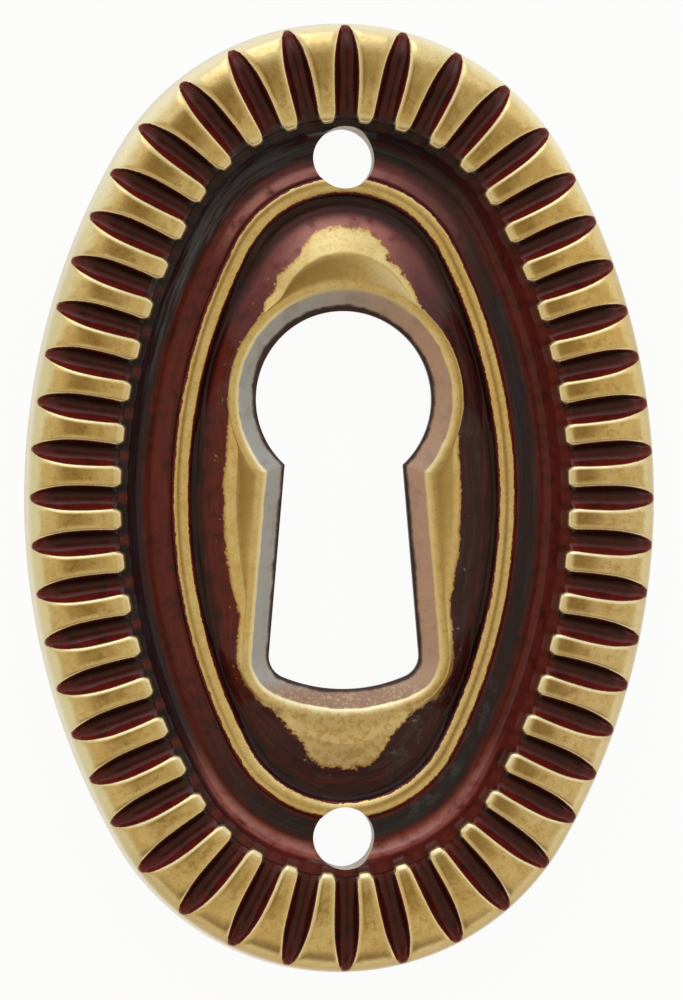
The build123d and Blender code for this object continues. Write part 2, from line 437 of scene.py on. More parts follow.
def keyhole_reach(size, growth, cosine, sine):
    """How far the keyhole's edge is from the middle of its neck, in one direction."""

    def to_circle(centre_x, centre_y, radius):
        along = centre_x * abs(cosine) + centre_y * sine
        apart = centre_x * centre_x + centre_y * centre_y
        return along + (along * along - apart + radius * radius).root()

    neck_height = size("Key neck height")
    to_round = to_circle(0.0, size("Key round centre") - neck_height, size("Key round radius") + growth)
    to_bottom = to_circle(0.0, size("Key bottom centre") - neck_height, size("Key bottom radius") + growth)
    neck = size("Key neck width") / 2.0 + growth / math.cos(KEY_LEG_FLARE)
    to_side = neck / (abs(cosine) + sine * math.tan(KEY_LEG_FLARE)).at_least(0.02)
    centre, side_out, low_out = key_corner()
    radius = size("Key corner radius") + growth

    def turn_from(direction):
        """Above zero where the ray passes over the end of the corner's arc in this direction."""
        end_x, end_y = centre.x + direction.x * radius, centre.y + direction.y * radius
        return end_x * sine - end_y * abs(cosine)

    in_corner = (turn_from(side_out) < 0.0) * (turn_from(low_out) > 0.0)
    to_corner = to_circle(centre.x, centre.y, radius)
    return to_round.at_least(to_side.at_most(to_bottom).toward(to_corner, in_corner))


PLATE_SIZES = {
    "Half width": PLATE_HALF_WIDTH,
    "Half height": PLATE_HALF_HEIGHT,
    "End radius": PLATE_END_RADIUS,
    "Rim height": RIM_HEIGHT,
    "Crest inset": CREST_INSET,
    "Crown radius": CROWN_RADIUS,
    "Band width at sides": 4.0,
    "Band width at ends": 4.36,
    "Flute pitch inset": 3.0,
    "Flute half width": 0.50,
    "Flute floor height": FLUTE_FLOOR_HEIGHT,
    "Flute tip inset": 0.12,
    "Land edge radius": 0.14,
    "Land edge drop": 0.07,
    "Land corner radius": 0.18,
    "Bead half width": 6.54,
    "Bead half height": 12.46,
    "Bead end radius": 4.64,
    "Ridge half width": 4.4,
    "Ridge half height": 9.75,
    "Ridge end radius": 2.7,
    "Ridge height": 1.76,
    "Key round radius": KEY_ROUND_RADIUS,
    "Key round centre": KEY_ROUND_CENTRE,
    "Key neck width": KEY_NECK_WIDTH,
    "Key neck height": KEY_NECK_HEIGHT,
    "Key bottom radius": KEY_BOTTOM_RADIUS,
    "Key bottom centre": KEY_BOTTOM_CENTRE,
    "Key corner radius": KEY_CORNER_RADIUS,
    "Key bevel": KEY_BEVEL,
    "Lip width": LIP_WIDTH,
    "Gilt past lip": 0.06,
    "Gilt past legs": 0.28,
    "Gilt past ridge at ends": 1.25,
    "Gilt past ridge at sides": 0.45,
    "Gilt shift to the left": 0.14,
    "Pin hole radius": PIN_RADIUS,
    "Pin hole spacing": PIN_SPACING,
}
PLATE_COUNTS = {"Flutes": FLUTE_COUNT, "Columns per flute": COLUMNS_PER_FLUTE}


class PressedPlate:
    """The tree that carries the section round the oval, presses the flutes and cuts the pin holes."""

    def __init__(self, tree, material):
        tree.interface.new_socket("Section", in_out="INPUT", socket_type="NodeSocketGeometry")
        for name in PLATE_COUNTS:
            tree.interface.new_socket(name, in_out="INPUT", socket_type="NodeSocketInt")
        for name in PLATE_SIZES:
            tree.interface.new_socket(name, in_out="INPUT", socket_type="NodeSocketFloat")
        tree.interface.new_socket("Plate", in_out="OUTPUT", socket_type="NodeSocketGeometry")
        self.nodes = Nodes(tree)
        self.group_in = self.nodes.add("NodeGroupInput", output=None)
        self.read_section()
        self.follow_outline()
        self.place_columns()
        self.trace_ovals()
        sheet = self.press_sheet()
        self.finish(self.cut_pin_holes(sheet), material)

    def size(self, name):
        return Value(self.nodes, self.group_in.outputs[name])

    def sizes(self, *names):
        return [self.size(name) for name in names]

    def named(self, name):
        return self.nodes.add("GeometryNodeInputNamedAttribute", {"Name": name}, data_type="FLOAT")

    def store(self, geometry, name, value, domain="POINT"):
        return self.nodes.add(
            "GeometryNodeStoreNamedAttribute", {"Geometry": geometry, "Name": name, "Value": value},
            data_type="FLOAT", domain=domain,
        )

    def read_section(self):
        """A grid with a row for each row of the section, and what the section says of each row."""
        section = self.size("Section")
        rows = self.nodes.add("GeometryNodeAttributeDomainSize", [section])
        columns = self.size("Flutes") * self.size("Columns per flute")
        self.grid = self.nodes.add(
            "GeometryNodeMeshGrid",
            {"Size X": 1.0, "Size Y": 1.0, "Vertices X": columns + 1.0, "Vertices Y": rows},
        )
        index = self.nodes.add("GeometryNodeInputIndex")
        column = (index / rows + ROUNDING_ROOM).floor()
        row = index - column * rows
        self.column = column.math("MODULO", columns)

        def sample(value, data_type):
            return self.nodes.add(
                "GeometryNodeSampleIndex", {"Geometry": section, "Value": value, "Index": row},
                data_type=data_type, domain="POINT", clamp=True,
            )

        place = sample(self.nodes.add("GeometryNodeInputPosition"), "FLOAT_VECTOR")
        self.guide, _, self.height = self.nodes.parts(place)
        self.marks = {name: sample(self.named(name), "FLOAT") for name in Section.MARKS}

    def follow_outline(self):
        """The line inside the outline along which the flutes are evenly spaced."""
        self.outline = Oval(*self.sizes("Half width", "Half height", "End radius"))
        self.pitch_inset = self.size("Flute pitch inset")
        self.side_run = self.outline.side_radius - self.pitch_inset
        self.end_run = self.outline.end_radius - self.pitch_inset
        self.side_length = self.side_run * self.outline.joint
        self.end_length = self.end_run * (math.pi / 2 - self.outline.joint)
        self.half_round = 2.0 * (self.side_length + self.end_length)
        self.pitch = 2.0 * self.half_round / self.size("Flutes")

    def direction(self, travel):
        """Cosine and sine of the outline's normal after this travel along the pitch line."""
        halves = (travel / self.half_round).floor()
        rest = travel - halves * self.half_round
        end_part = (rest - self.side_length).within(0.0, 2.0 * self.end_length)
        extra_turn = end_part * (1.0 / self.end_run - 1.0 / self.side_run)
        angle = halves * math.pi + rest / self.side_run + extra_turn
        return angle.cos(), angle.sin()

    def band_width(self, cosine, sine):
        """How far inside the outline the band ends, where the normal has this direction."""
        side = self.size("Band width at sides") * cosine
        end = self.size("Band width at ends") * sine
        return (side * side + end * end).root()

    def inset_of(self, width):
        """How far inside the outline the row lies, on a band of this width."""
        crest = self.size("Crest inset")
        past_crest = (self.guide - 1.0).within(0.0, 1.0)
        return self.guide.at_most(1.0) * crest + (width - crest) * past_crest

    def place_columns(self):
        """Gathers the columns of each flute to its width, and finds each column's normal."""
        per_flute = self.size("Columns per flute")
        flute = (self.column / per_flute + ROUNDING_ROOM).floor()
        phase = (self.column - flute * per_flute) / per_flute * 2.0 - 1.0
        apart = abs(phase)
        flute = flute + self.size("Flutes")

        centre_cos, centre_sin = self.direction(flute * self.pitch)
        at_end = abs(centre_sin) > self.outline.joint.sin()
        run = self.side_run.toward(self.end_run, at_end)
        flute_length = self.band_width(centre_cos, centre_sin)
        self.inset = self.inset_of(flute_length) - self.marks["setback"] * (self.guide < 2.5)
        half_pitch = 0.5 * self.pitch * (run + self.pitch_inset - self.inset) / run
        self.tip = self.size("Flute tip inset")
        along = ((self.inset - self.tip) / (flute_length - self.tip)).within(0.0, 1.0)
        width_share = self.nodes.add("ShaderNodeFloatCurve", [1.0, along], points=FLUTE_WIDTHS)
        half_width = self.size("Flute half width") * width_share

        self.flute_side = phase.sign()
        self.groove = (apart / GROOVE_SHARE).at_most(1.0)
        self.in_groove = self.groove < GROOVE_LIMIT
        land = ((apart - GROOVE_SHARE) / (1 - GROOVE_SHARE)).at_least(0.0) ** LAND_GATHER
        width_ratio = half_width / half_pitch
        gathered = width_ratio * self.groove + (1.0 - width_ratio) * land
        share = apart.toward(gathered, self.marks["band"])
        travel = (flute + self.flute_side * share * 0.5) * self.pitch
        self.cosine, self.sine = self.direction(travel)
        self.from_edge = land * (half_pitch - half_width)

    def trace_ovals(self):
        """Where each column meets the bead, the dome's ridge, the lip and the keyhole."""
        self.band_inset = self.inset_of(self.band_width(self.cosine, self.sine))
        corner_radius = self.size("Land corner radius")
        corner_in = 1.0 - (self.from_edge / corner_radius).within(0.0, 1.0)
        retreat = corner_radius * (1.0 - (1.0 - corner_in * corner_in).root())
        self.outward = self.marks["setback"] + retreat * self.marks["corner"]

        bead = Oval(*self.sizes("Bead half width", "Bead half height", "Bead end radius"))
        self.bead_x, self.bead_y = bead.point(self.cosine, self.sine)
        ridge = Oval(*self.sizes("Ridge half width", "Ridge half height", "Ridge end radius"))
        ridge_x, ridge_y = ridge.point(self.cosine, self.sine)
        self.neck = self.size("Key neck height")
        ridge_y = ridge_y - self.neck
        self.oval_reach = (ridge_x * ridge_x + ridge_y * ridge_y).root()
        self.ray_cos, self.ray_sin = ridge_x / self.oval_reach, ridge_y / self.oval_reach
        lip_growth = self.size("Key bevel") + self.size("Lip width")
        key_growth = lip_growth - self.marks["lip_in"]
        self.lip_reach = keyhole_reach(self.size, lip_growth, self.ray_cos, self.ray_sin)
        self.key_reach = keyhole_reach(self.size, key_growth, self.ray_cos, self.ray_sin)
        self.ridge_reach = self.oval_reach.math("SMOOTH_MAX", self.lip_reach + RIDGE_PAST_LIP, RIDGE_BLEND)

    def past(self, guide):
        """How far the row has gone from this guide to the next."""
        return (self.guide - guide).within(0.0, 1.0)

    def carried(self, rim, normal, bead, ray, start):
        """One coordinate of the point, passed from guide to guide."""
        at = rim - normal * self.band_inset
        at = at.toward(bead, self.past(2.0))
        at = at.toward(start + ray * self.ridge_reach, self.past(3.0))
        at = at.toward(start + ray * self.key_reach, self.past(4.0))
        return at + normal * self.outward

    def pressed_height(self):
        """The height of each point, and how far it lies below the lands."""
        past_crest = self.band_inset - self.outward - self.size("Crest inset")
        curved = past_crest.within(0.0, CROWN_RADIUS * CROWN_SLOPE)
        straight = (past_crest - CROWN_RADIUS * CROWN_SLOPE).at_least(0.0)
        crown_drop = curved * curved / (2.0 * self.size("Crown radius"))
        crown = self.size("Rim height") - crown_drop - straight * math.tan(CROWN_SLOPE)

        past_tip = self.inset.ease(self.tip, self.tip + FLUTE_TIP_RUN)
        edge_in = 1.0 - (self.from_edge / self.size("Land edge radius")).within(0.0, 1.0)
        edge_drop = self.size("Land edge drop") * edge_in * edge_in * past_tip * self.marks["cut"]
        land = self.height + crown * self.marks["on_crown"] - edge_drop
        top = self.height.toward(crown, self.marks["on_crown"]) - edge_drop
        floor = (top - FLUTE_TIP_DEPTH * past_tip).at_most(self.size("Flute floor height"))
        floor = top.toward(floor, past_tip.at_least(self.inset > self.tip))
        fluted = land.at_most(floor + (top - floor) * self.groove ** GROOVE_ROUNDING)
        z = land.toward(fluted, self.marks["cut"])

        past_ridge = self.past(4.0)
        inward = (self.ridge_reach - self.lip_reach) * past_ridge
        bend = 0.5 * (math.tan(RIDGE_RISE) + math.tan(LIP_START))
        dome = self.size("Ridge height") + inward * (math.tan(RIDGE_RISE) - bend * past_ridge)
        z = z + self.marks["rise"] * (dome - MOAT_HEIGHT) + self.marks["on_dome"] * dome
        return z, (top - fluted).at_least(0.0)

    def rubbed(self, below):
        """Above zero where the brass is rubbed bright, and below zero by the depth of the lacquer."""
        land = (self.from_edge + LAND_GILT).toward(LAND_GILT - below, self.in_groove)
        land = land + 2.0 * (self.tip + 0.03 - self.inset).at_least(0.0)
        rub = self.marks["rub"].at_most(1.0 + (land - 1.0) * self.marks["cut"])
        at_sides, at_ends = self.sizes("Gilt past ridge at sides", "Gilt past ridge at ends")
        past_ridge = at_sides.toward(at_ends, abs(self.sine).ease(0.76, 0.99))
        past_ridge = past_ridge - self.cosine * self.size("Gilt shift to the left")
        past_legs = self.size("Gilt past legs") * (-self.ray_sin).ease(0.35, 0.8)
        past_lip = self.size("Gilt past lip") + past_legs
        reach = (self.oval_reach + past_ridge).at_least(self.lip_reach + past_lip) - self.ridge_reach
        flank_x = self.bead_x - self.ray_cos * self.ridge_reach
        flank_y = self.bead_y - self.neck - self.ray_sin * self.ridge_reach
        flank_width = (flank_x * flank_x + flank_y * flank_y).root()
        dome = reach - (4.0 - self.guide).within(0.0, 1.0) * flank_width
        on_dome = (self.guide > 3.01) * (1.0 - self.marks["behind"])
        return rub.toward(rub.at_least(dome), on_dome)

    def press_sheet(self):
        """The grid put in place, with the measures that the finish is made from."""
        rim_x, rim_y = self.outline.point(self.cosine, self.sine)
        x = self.carried(rim_x, self.cosine, self.bead_x, self.ray_cos, 0.0)
        y = self.carried(rim_y, self.sine, self.bead_y, self.ray_sin, self.neck)
        z, below = self.pressed_height()
        seat = self.nodes.add("ShaderNodeCombineXYZ", [x, y, z])
        seat = self.nodes.add("ShaderNodeVectorMath", {0: seat, "Scale": MM}, operation="SCALE")
        sheet = self.nodes.add("GeometryNodeSetPosition", {"Geometry": self.grid, "Position": seat})
        flute_wall = self.groove * self.in_groove * self.marks["cut"]
        self.measures = {
            "guide": self.guide,
            "rub": self.rubbed(below),
            # dark is painted shade; upward tells how far a flute's wall faces the top, and the lacquer
            # paints light and shade from it
            "dark": self.marks["dark"],
            "behind": self.marks["behind"],
            "upward": self.flute_side * flute_wall * -self.cosine,
            "flute": flute_wall,
            "hollow": 1.0 - self.groove,
        }
        for name, value in self.measures.items():
            sheet = self.store(sheet, name, value)
        return self.nodes.add("GeometryNodeMergeByDistance", {"Geometry": sheet, "Distance": 2e-6})

    def cut_pin_holes(self, sheet):
        """The sheet with both pin holes cut, its measures kept and the holes' walls marked."""
        nodes = self.nodes
        radius, spacing = self.sizes("Pin hole radius", "Pin hole spacing")
        cutter = nodes.add(
            "GeometryNodeMeshCylinder",
            {"Vertices": PIN_CUTTER_SIDES, "Radius": radius * MM, "Depth": PIN_CUTTER_DEPTH * MM},
            fill_type="NGON",
        )
        low_end = nodes.add("ShaderNodeCombineXYZ", [0.0, spacing * (-0.5 * MM), 0.0])
        step = nodes.add("ShaderNodeCombineXYZ", [0.0, spacing * MM, 0.0])
        ends = nodes.add(
            "GeometryNodeMeshLine", {"Count": 2, "Start Location": low_end, "Offset": step}, mode="OFFSET"
        )
        cutters = nodes.add("GeometryNodeInstanceOnPoints", {"Points": ends, "Instance": cutter})
        cutters = nodes.add("GeometryNodeRealizeInstances", [cutters])
        plate = nodes.add(
            "GeometryNodeMeshBoolean", {0: sheet, 1: cutters}, operation="DIFFERENCE", solver="EXACT"
        )
        here = nodes.add("GeometryNodeInputPosition")
        for name in self.measures:
            near = nodes.add(
                "GeometryNodeSampleNearestSurface",
                {"Mesh": sheet, "Value": self.named(name), "Sample Position": here}, data_type="FLOAT",
            )
            plate = self.store(plate, name, near)
        here_x, here_y, _ = nodes.parts(here)
        off_y = abs(here_y) - spacing * (0.5 * MM)
        off = (here_x * here_x + off_y * off_y).root()
        return self.store(plate, "pin_wall", off < radius * 1.003 * MM, domain="FACE")

    def finish(self, plate, material):
        """Smooth faces, sharp where they bend hard, in the plate's material."""
        nodes = self.nodes
        plate = nodes.add("GeometryNodeSetShadeSmooth", {"Geometry": plate, "Shade Smooth": True})
        bend = nodes.add("GeometryNodeInputMeshEdgeAngle")
        plate = nodes.add(
            "GeometryNodeSetShadeSmooth",
            {"Geometry": plate, "Selection": bend > SHARP_EDGE, "Shade Smooth": False},
            domain="EDGE",
        )
        plate = nodes.add("GeometryNodeRealizeInstances", [plate])
        plate = nodes.add("GeometryNodeSetMaterial", {"Geometry": plate, "Material": material})
        nodes.add("NodeGroupOutput", [plate], output=None)


def make_plate(material):
    """Runs the tree on the section and keeps the result as a plain mesh."""
    tree = bpy.data.node_groups.new("pressed plate", "GeometryNodeTree")
    PressedPlate(tree, material)
    plate = bpy.data.objects.new("pressed_escutcheon", Section().mesh())
    bpy.context.scene.collection.objects.link(plate)
    modifier = plate.modifiers.new("pressed plate", "NODES")
    modifier.node_group = tree
    given = {**PLATE_COUNTS, **PLATE_SIZES}
    for socket in tree.interface.items_tree:
        if socket.in_out == "INPUT" and socket.name in given:
            modifier[socket.identifier] = given[socket.name]
    evaluated = plate.evaluated_get(bpy.context.evaluated_depsgraph_get())
    mesh = bpy.data.meshes.new_from_object(evaluated)
    plate.modifiers.remove(modifier)
    plate.data = mesh
    mesh.name = "pressed_escutcheon"
    return plate


# Tones of the rubbed brass, by where they lie or what made them; the shoulder, edge highlight, dome-top,
# neck and dome-bottom tones are painted light and shade
BRASS = {
    "pale": (0.83, 0.67, 0.32, 1.0),
    "warm": (0.78, 0.58, 0.24, 1.0),
    "low right": (0.84, 0.67, 0.37, 1.0),
    "high right": (0.88, 0.62, 0.23, 1.0),
    "worn": (0.58, 0.37, 0.12, 1.0),
    "mottled": (0.48, 0.29, 0.08, 1.0),
    "speckled": (0.52, 0.31, 0.09, 1.0),
    "left shoulder reflection": (0.61, 0.56, 0.31, 1.0),
    "right shoulder reflection": (0.53, 0.44, 0.22, 1.0),
    "top shoulder highlight": (0.94, 0.87, 0.60, 1.0),
    "bottom shoulder shade": (0.42, 0.29, 0.10, 1.0),
    "darker_lands": (0.50, 0.35, 0.13, 1.0),
    "edge highlight": (0.98, 0.88, 0.58, 1.0),
    "outer wall": (0.70, 0.62, 0.42, 1.0),
    "shade left of dome top": (0.42, 0.28, 0.09, 1.0),
    "highlight right of dome top": (1.0, 0.88, 0.60, 1.0),
    "shade beside neck": (0.48, 0.31, 0.10, 1.0),
    "dome bottom highlight": (0.92, 0.80, 0.50, 1.0),
    "thin": (0.46, 0.24, 0.06, 1.0),
}
# Tones of the lacquer; the lit, slate, sheen, line and flute-end tones are painted light and shade
LACQUER = {
    "red": (0.15, 0.013, 0.008, 1.0),
    "brown": (0.082, 0.008, 0.006, 1.0),
    "black": (0.014, 0.005, 0.004, 1.0),
    "lit": (0.15, 0.024, 0.018, 1.0),
    "streaked": (0.21, 0.020, 0.014, 1.0),
    "lit flute": (0.16, 0.014, 0.010, 1.0),
    "speckled": (0.16, 0.010, 0.006, 1.0),
    "flute tip": (0.20, 0.022, 0.012, 1.0),
    "flute end highlight": (0.125, 0.018, 0.016, 1.0),
    "dark slate": (0.009, 0.007, 0.011, 1.0),
    "slate": (0.024, 0.023, 0.030, 1.0),
    "pale slate": (0.082, 0.088, 0.110, 1.0),
    "lacquer_sheen": (0.46, 0.125, 0.098, 1.0),
    "low_right_sheen": (0.10, 0.075, 0.085, 1.0),
    "line": (0.004, 0.002, 0.003, 1.0),
    "streaked shade line": (0.022, 0.016, 0.022, 1.0),
}
# Tones of the bare metal in the keyhole and the pin holes; left, right and bottom are a painted reflection
BARE = {
    "left": (0.45, 0.45, 0.46, 1.0),
    "right": (0.53, 0.33, 0.24, 1.0),
    "bottom": (0.38, 0.22, 0.15, 1.0),
    "speckled": (0.60, 0.46, 0.27, 1.0),
    "patched": (0.30, 0.20, 0.16, 1.0),
    "dark_inner_edge": (0.040, 0.013, 0.008, 1.0),
    "pin hole": (0.55, 0.48, 0.40, 1.0),
}


class PatinatedBrass:
    """Rubbed brass with red-brown lacquer left in its hollows, and bare metal in the keyhole."""

    def __init__(self, tree):
        self.nodes = Nodes(tree)
        self.read_measures()
        self.make_noises()
        gilt = self.gilt_share()
        cut_edge = self.guide + (self.medium - 0.5) * 0.10
        in_keyhole = cut_edge.ease(5.30, 5.36) * (1.0 - self.behind.ease(0.4, 0.6))
        bare = in_keyhole.at_least(self.pin_wall)
        worn = self.nodes.add("ShaderNodeMixShader", [gilt, self.lacquer(), self.gold()])
        finish = self.nodes.add("ShaderNodeMixShader", [bare, worn, self.bare_metal()])
        self.nodes.add("ShaderNodeOutputMaterial", [finish], output=None)

    def read_measures(self):
        """What the mesh says of each point, and the point's place in millimetres."""

        def attribute(name):
            return self.nodes.add("ShaderNodeAttribute", output="Fac", attribute_name=name)

        self.guide, self.rub = attribute("guide"), attribute("rub")
        self.dark, self.behind = attribute("dark"), attribute("behind")
        self.upward, self.flute, self.hollow = attribute("upward"), attribute("flute"), attribute("hollow")
        self.pin_wall = attribute("pin_wall")
        place = self.nodes.add("ShaderNodeTexCoord", output="Object")
        self.place = self.nodes.add("ShaderNodeVectorMath", {0: place, "Scale": 1 / MM}, operation="SCALE")
        self.x, self.y, _ = self.nodes.parts(self.place)

    def noise(self, scale, detail=3.0, roughness=0.55, at=None):
        inputs = {"Vector": at or self.place, "Scale": scale, "Detail": detail, "Roughness": roughness}
        return self.nodes.add("ShaderNodeTexNoise", inputs)

    def make_noises(self):
        """Unevenness at several scales, and streaks that run round the plate."""
        self.broad, self.medium = self.noise(0.35), self.noise(1.6, 4.0)
        self.mottle, self.fleck = self.noise(3.4, 3.0, 0.6), self.noise(3.2, 2.0)
        self.fine, self.grain = self.noise(7.0, 5.0, 0.65), self.noise(22.0, 2.0)
        round_the_plate = [self.guide * 9.0, self.y * 0.35, self.x * 0.35]
        along = self.nodes.add("ShaderNodeCombineXYZ", round_the_plate)
        self.streak = self.noise(1.4, 4.0, 0.6, at=along)
        self.bump = self.nodes.add(
            "ShaderNodeBump",
            {"Strength": 0.08, "Distance": 0.02 * MM, "Height": self.fine * 0.6 + self.grain * 0.4},
        )

    def between(self, start, full, fade, end):
        """1 from the guide full to the guide fade, and 0 before start and after end."""
        return self.guide.ease(start, full) * (1.0 - self.guide.ease(fade, end))

    def gilt_share(self):
        """1 where brass shows and 0 where lacquer does, with a ragged edge and a few flecks."""
        on_bead, self.on_dome = self.guide.ease(2.3, 2.5), self.guide.ease(3.3, 3.6)
        at_end = abs(self.y).ease(5.5, 9.0)
        ragged = 0.05 + on_bead * 0.05 + self.on_dome * (0.12 + at_end * 0.26)
        self.edge = self.rub + (self.medium - 0.5) * ragged * 1.6 + (self.fine - 0.5) * ragged * 1.4
        soft = 0.012 + self.on_dome * 0.01
        gilt = (self.edge / soft * 0.5 + 0.5).within(0.0, 1.0)
        flecks = (self.fleck - 0.69).within(0.0, 0.02) * 50.0
        near_gilt = 1.0 - (-self.rub).ease(0.05, 0.75)
        return gilt.at_least(flecks * near_gilt * self.on_dome)

    def shoulder_painted_light(self):
        """The painted light on the rim's shoulder: painted reflections that differ from left to right, a
        painted highlight at the top and painted shade at the bottom.
        """
        tone = self.nodes.mix(self.x.ease(-8.0, 8.0), BRASS["left shoulder reflection"], BRASS["right shoulder reflection"])
        return self.nodes.coats(
            tone,
            (self.y.ease(8.0, 15.0), BRASS["top shoulder highlight"]),
            ((-self.y).ease(11.0, 16.0), BRASS["bottom shoulder shade"]),
        )

    def gold(self):
        """The rubbed brass: mottled on the lands, with painted highlights along their edges and the lip and
        painted light on the shoulder and the dish, thin where it ends.
        """
        nodes, guide, x, y = self.nodes, self.guide, self.x, self.y
        on_land = 1.0 - guide.ease(2.0, 2.02)
        base = nodes.mix(self.broad.ease(0.3, 0.7), BRASS["pale"], BRASS["warm"])
        right_tone = nodes.mix(y.ease(-2.0, 6.0), BRASS["low right"], BRASS["high right"])
        # The middle of each land, where more of the darker noise tones are laid.
        land_middle = self.between(0.45, 0.75, 1.5, 1.85) * self.rub.ease(0.1, 0.3)
        shoulder = self.between(0.02, 0.08, 0.12, 0.36)
        # Darker on the inner half of the lands on the right, and across the middle of the top lands.
        darker_lands = self.between(1.1, 1.4, 1.9, 1.97) * x.ease(1.0, 7.0)
        darker_lands = darker_lands.at_least(self.between(0.4, 0.6, 1.1, 1.4) * y.ease(9.0, 14.0))
        # Painted highlights: a bright line along the lands' gilt edges and noses, and along the keyhole's
        # lip, stronger on the left.
        thin_edge = (1.0 - self.rub.ease(0.04, 0.15)).at_least(guide.ease(1.88, 1.99))
        land_edge_highlight = on_land * thin_edge * guide.ease(0.2, 0.5)
        lip_highlight = guide.ease(5.16, 5.26) * (1.0 - x.ease(-2.0, 4.0) * 0.5)
        outer_wall = 1.0 - guide.ease(0.04, 0.12)
        in_dish = self.between(4.02, 4.25, 4.8, 5.02)
        dome_top = in_dish * y.ease(7.0, 8.0)
        # Painted shade in the dish beside the keyhole's neck.
        shade_beside_neck = in_dish * y.ease(-3.5, 0.5) * (1.0 - y.ease(2.0, 4.0))
        # Painted highlight on the dome below the keyhole.
        dome_bottom_highlight = self.on_dome * (-y).ease(7.5, 8.6) * (1.0 - self.mottle.ease(0.45, 0.6))
        thin = (1.0 - self.edge.ease(0.0, 0.16)) * self.on_dome
        tone = nodes.coats(
            base,
            (x.ease(2.0, 10.0) * 0.65, right_tone),
            (self.medium.ease(0.42, 0.68) * (0.25 + land_middle * 0.3), BRASS["worn"]),
            (self.mottle.ease(0.48, 0.66) * (0.25 + land_middle * 0.35), BRASS["mottled"]),
            (self.fine.ease(0.48, 0.72) * 0.4, BRASS["speckled"]),
            # The shoulder's tone is painted light: reflections at the sides, a highlight at the top, shade
            # at the bottom.
            (shoulder * 0.75, self.shoulder_painted_light()),
            (darker_lands * on_land * 0.4, BRASS["darker_lands"]),
            ((land_edge_highlight * 0.5).at_least(lip_highlight * 0.8), BRASS["edge highlight"]),
            (outer_wall * 0.6, BRASS["outer wall"]),
            # Painted reflection in the dish above the keyhole: darker on the left, paler on the right.
            (dome_top * (1.0 - x.ease(-1.2, 1.6)) * 0.7, BRASS["shade left of dome top"]),
            (dome_top * x.ease(0.3, 2.0) * 0.7, BRASS["highlight right of dome top"]),
            (shade_beside_neck * 0.65, BRASS["shade beside neck"]),
            (dome_bottom_highlight * 0.5, BRASS["dome bottom highlight"]),
            (thin * 0.8, BRASS["thin"]),
        )
        roughness = 0.17 + self.medium * 0.08 + self.grain * 0.08 + self.on_dome * 0.06
        return nodes.add(
            "ShaderNodeBsdfPrincipled",
            {"Base Color": tone, "Metallic": 1.0, "Roughness": roughness, "Normal": self.bump},
        )

    def find_sides(self):
        """Which walls of the moat and the dome are lit and which lie in the shade."""
        self.lit_side = (self.x * 0.8 - self.y * 0.35).ease(-3.5, 3.0)
        self.wall_foot = self.guide - self.y.ease(6.0, 12.0) * 0.22
        moat_wall = self.guide.ease(1.99, 2.01) * (1.0 - self.wall_foot.ease(2.24, 2.48))
        outward = self.between(2.4, 2.65, 2.9, 2.97).at_least(self.guide.ease(3.25, 3.4) * 0.7)
        return moat_wall.toward(outward, self.lit_side), outward.toward(moat_wall, self.lit_side)

    def slate_tone(self):
        """The grey sheen of shaded lacquer, strongest high on the left."""
        y = self.y
        high_left = y.ease(3.0, 9.0) * (1.0 - self.x.ease(-4.0, 1.0)) * (1.0 - y.ease(10.5, 13.0) * 0.6)
        sheen = self.nodes.mix(high_left, LACQUER["slate"], LACQUER["pale slate"])
        glint = high_left * self.guide.ease(2.05, 2.14) * (1.0 - self.wall_foot.ease(2.1, 2.24))
        return self.nodes.mix((self.streak + glint * 0.12).ease(0.42, 0.66), LACQUER["dark slate"], sheen)

    def lacquer_sheen_share(self):
        """Where a pinkish sheen is painted on the lacquer, with a coat laid over it: above the keyhole, and
        at the moat's two ends.
        """
        x, y = self.x, self.y
        near_middle = 1.0 - abs(x + 0.2).ease(0.8, 3.0) * 0.75
        dome = self.guide.ease(3.25, 3.5) * y.ease(7.0, 9.5) * near_middle
        moat = self.between(2.68, 2.84, 2.94, 2.98) * y.ease(9.0, 11.5) * (1.0 - x.ease(0.0, 3.5) * 0.75)
        foot = self.between(2.08, 2.16, 2.3, 2.5) * (-y).ease(9.0, 12.5)
        return dome.at_least(moat * 0.8).at_least(foot * 0.8) * self.medium.ease(0.2, 0.55)

    def lacquer(self):
        """The lacquer: red where it is thin, black where it is deep, with painted light: lit and shaded
        walls, painted sheen, and painted shade lines.
        """
        nodes, guide, x, y = self.nodes, self.guide, self.x, self.y
        depth = (-self.rub).within(0.0, 1.0)
        on_band = 1.0 - guide.ease(1.98, 2.02)
        shaded, lit = self.find_sides()
        flute_tip = on_band * (1.0 - guide.ease(0.1, 0.5))
        shaded_wall = self.flute.ease(0.45, 0.8) * (1.0 - self.upward.ease(0.0, 0.5))
        # Painted sheen in the base colour where surfaces face the top lamp; the coat on it reflects for
        # real.
        lacquer_sheen = self.lacquer_sheen_share()
        # Painted sheen in spots low on the right, between the moat and the dome's flank.
        low_right = self.between(2.6, 2.75, 3.7, 3.9) * x.ease(0.6, 2.4) * (-y).ease(6.5, 8.5)
        low_right_sheen = low_right * self.medium.ease(0.48, 0.6) * self.fine.ease(0.3, 0.6)
        # Painted shade lines from the dark mark, fainter on the lit side.
        line = self.dark * (1.0 - self.lit_side * 0.9 * (1.0 - guide.ease(2.2, 2.4)))
        shade_line_tone = nodes.mix(self.streak.ease(0.45, 0.62) * 0.7, LACQUER["line"], LACQUER["streaked shade line"])
